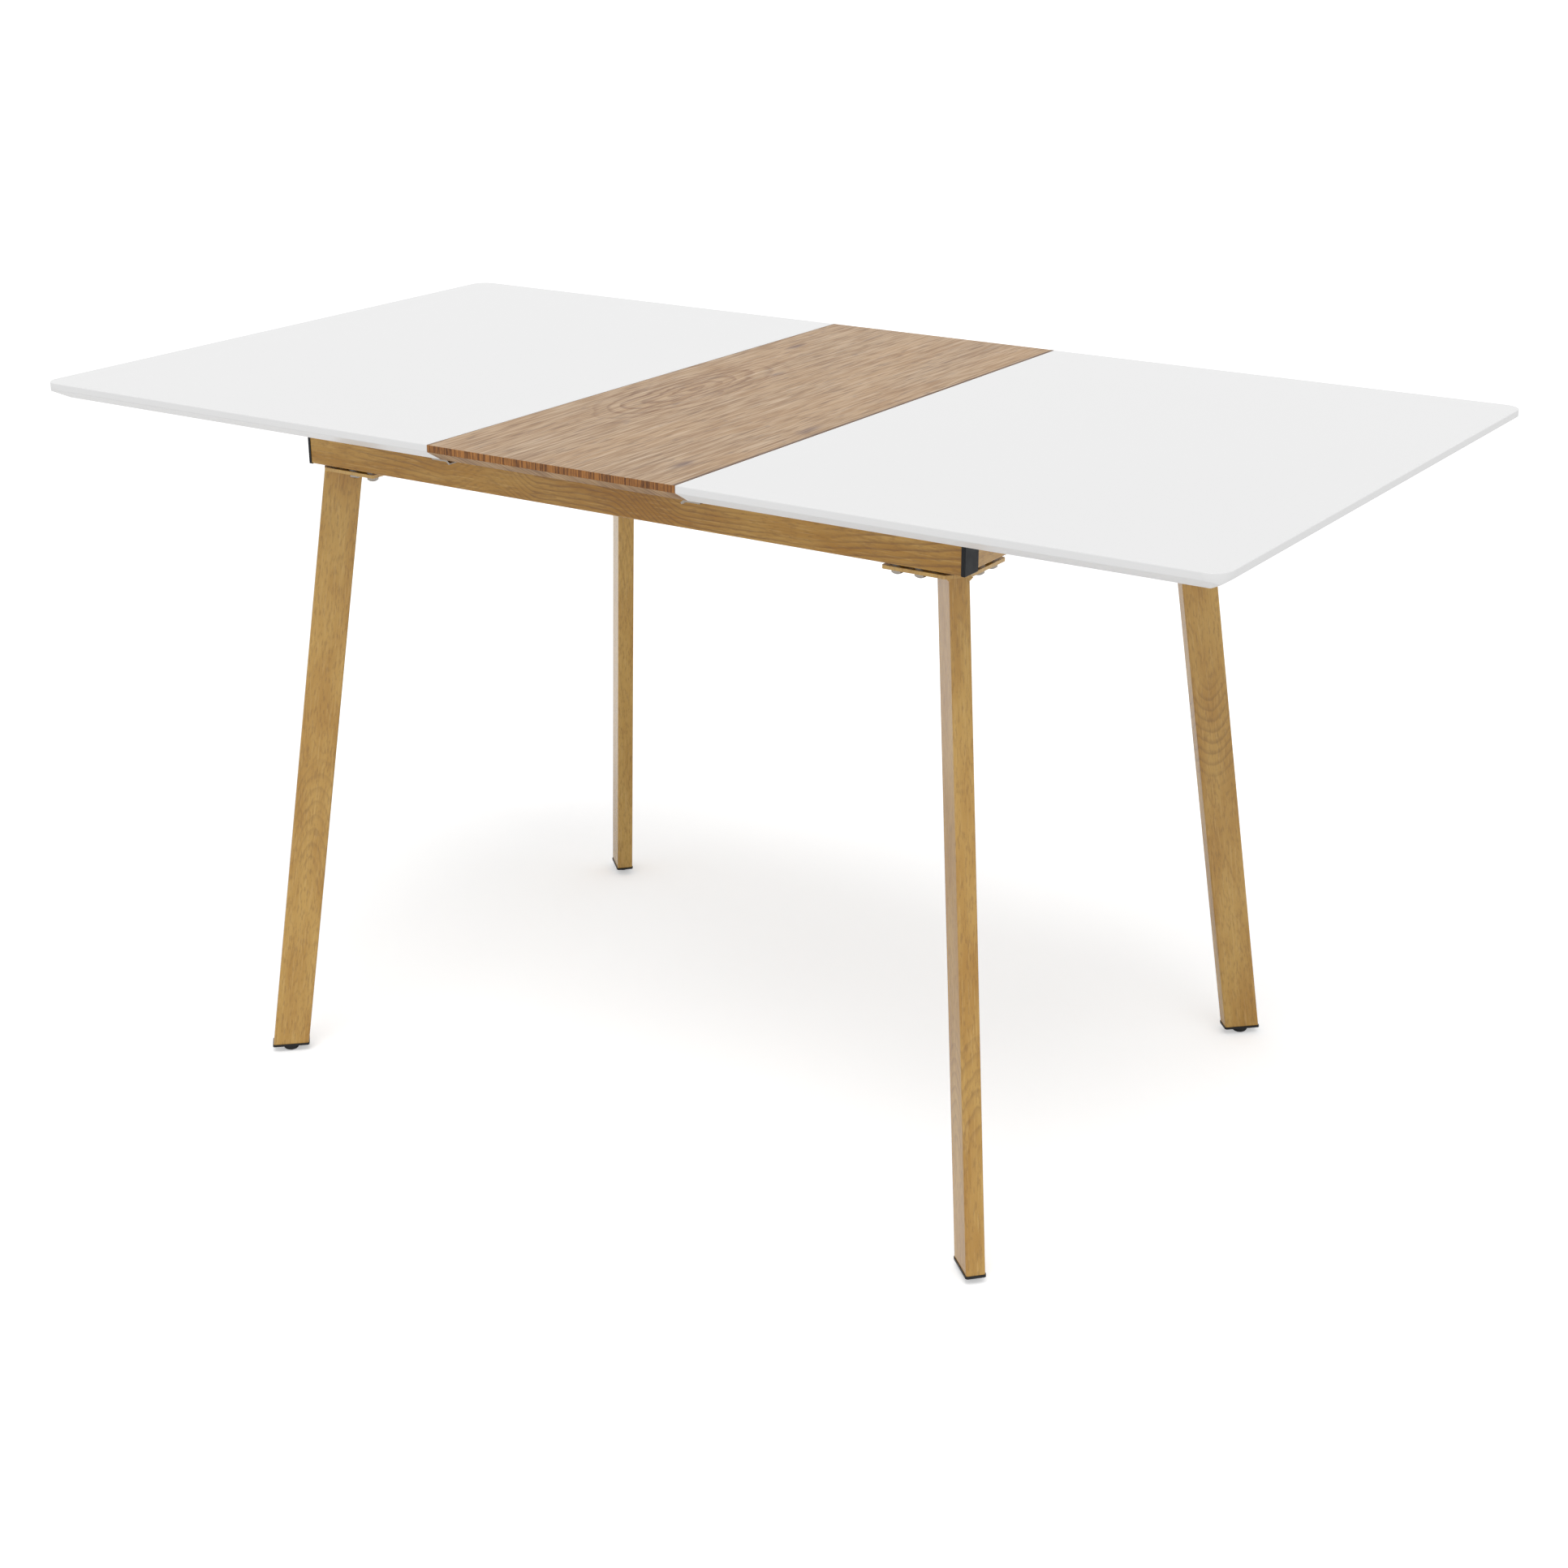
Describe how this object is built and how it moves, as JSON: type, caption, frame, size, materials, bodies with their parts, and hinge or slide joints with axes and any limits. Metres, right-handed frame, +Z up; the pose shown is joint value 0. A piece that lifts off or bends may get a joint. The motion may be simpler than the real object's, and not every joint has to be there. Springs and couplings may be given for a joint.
{
  "type": "extending dining table",
  "caption": "Rectangular extending dining table with a beveled white top, a wood-look leaf, a rail frame with sliding runners and splayed tube legs.",
  "frame": {"origin": "on the floor under the middle of the leaf, which is the bottom centre of the bounding box", "axes": "+X along the table's length towards the right half, +Y from the front rail to the back rail, +Z up"},
  "size_m": [1.4, 0.75, 0.765],
  "materials": {
    "white_lacquer": "white high-gloss lacquer on fibreboard",
    "oak_leaf": "matt oak-look decor on fibreboard",
    "oak_foil": "satin oak-look transfer coating on steel tube",
    "black_plastic": "fine-grained black plastic",
    "black_glide": "smooth black plastic",
    "bright_steel": "bright nickel plate",
    "zinc_steel": "clear zinc plate",
    "nylon": "natural nylon",
    "rubber": "matt black rubber"
  },
  "bodies": {
    "frame": {"front_rail": "oak_foil", "back_rail": "oak_foil", "left_end_rail": "oak_foil", "right_end_rail": "oak_foil", "front_left_leg": "oak_foil", "front_right_leg": "oak_foil", "back_left_leg": "oak_foil", "back_right_leg": "oak_foil", "front_left_leg_plate": "oak_foil", "front_right_leg_plate": "oak_foil", "back_left_leg_plate": "oak_foil", "back_right_leg_plate": "oak_foil", "front_left_cap": "black_plastic", "front_right_cap": "black_plastic", "back_left_cap": "black_plastic", "back_right_cap": "black_plastic", "front_left_leg_insert": "black_plastic", "front_right_leg_insert": "black_plastic", "back_left_leg_insert": "black_plastic", "back_right_leg_insert": "black_plastic", "front_left_leg_bolts": "bright_steel", "front_right_leg_bolts": "bright_steel", "back_left_leg_bolts": "bright_steel", "back_right_leg_bolts": "bright_steel", "front_left_washers": "zinc_steel", "front_right_washers": "zinc_steel", "back_left_washers": "zinc_steel", "back_right_washers": "zinc_steel", "front_left_rivet_nuts": "zinc_steel", "front_right_rivet_nuts": "zinc_steel", "back_left_rivet_nuts": "zinc_steel", "back_right_rivet_nuts": "zinc_steel", "front_track": "zinc_steel", "back_track": "zinc_steel", "front_track_screws": "zinc_steel", "back_track_screws": "zinc_steel", "track_stops": "rubber"},
    "left_half": {"left_top": "white_lacquer", "left_front_runner": "zinc_steel", "left_back_runner": "zinc_steel", "left_slide_blocks": "nylon", "left_runner_screws": "zinc_steel", "left_seam_clips": "bright_steel", "left_clip_screws": "bright_steel"},
    "right_half": {"right_top": "white_lacquer", "right_front_runner": "zinc_steel", "right_back_runner": "zinc_steel", "right_slide_blocks": "nylon", "right_runner_screws": "zinc_steel", "right_seam_clips": "bright_steel", "right_clip_screws": "bright_steel"},
    "leaf": {"leaf": "oak_leaf"},
    "front_left_foot": {"front_left_glide": "black_glide"},
    "front_right_foot": {"front_right_glide": "black_glide"},
    "back_left_foot": {"back_left_glide": "black_glide"},
    "back_right_foot": {"back_right_glide": "black_glide"}
  },
  "joints": [
    {"name": "left_half_slide", "type": "slide", "parent": "frame", "child": "left_half", "axis": [-1, 0, 0], "range_m": [0, 0.02]},
    {"name": "right_half_slide", "type": "slide", "parent": "frame", "child": "right_half", "axis": [1, 0, 0], "range_m": [0, 0.02]},
    {"name": "leaf_lift", "type": "slide", "parent": "frame", "child": "leaf", "axis": [0, 0, 1], "range_m": [0, 0.25]},
    {"name": "front_left_levelling", "type": "slide", "parent": "frame", "child": "front_left_foot", "axis": [0, 0, -1], "range_m": [0, 0.008]},
    {"name": "front_right_levelling", "type": "slide", "parent": "frame", "child": "front_right_foot", "axis": [0, 0, -1], "range_m": [0, 0.008]},
    {"name": "back_left_levelling", "type": "slide", "parent": "frame", "child": "back_left_foot", "axis": [0, 0, -1], "range_m": [0, 0.008]},
    {"name": "back_right_levelling", "type": "slide", "parent": "frame", "child": "back_right_foot", "axis": [0, 0, -1], "range_m": [0, 0.008]}
  ]
}
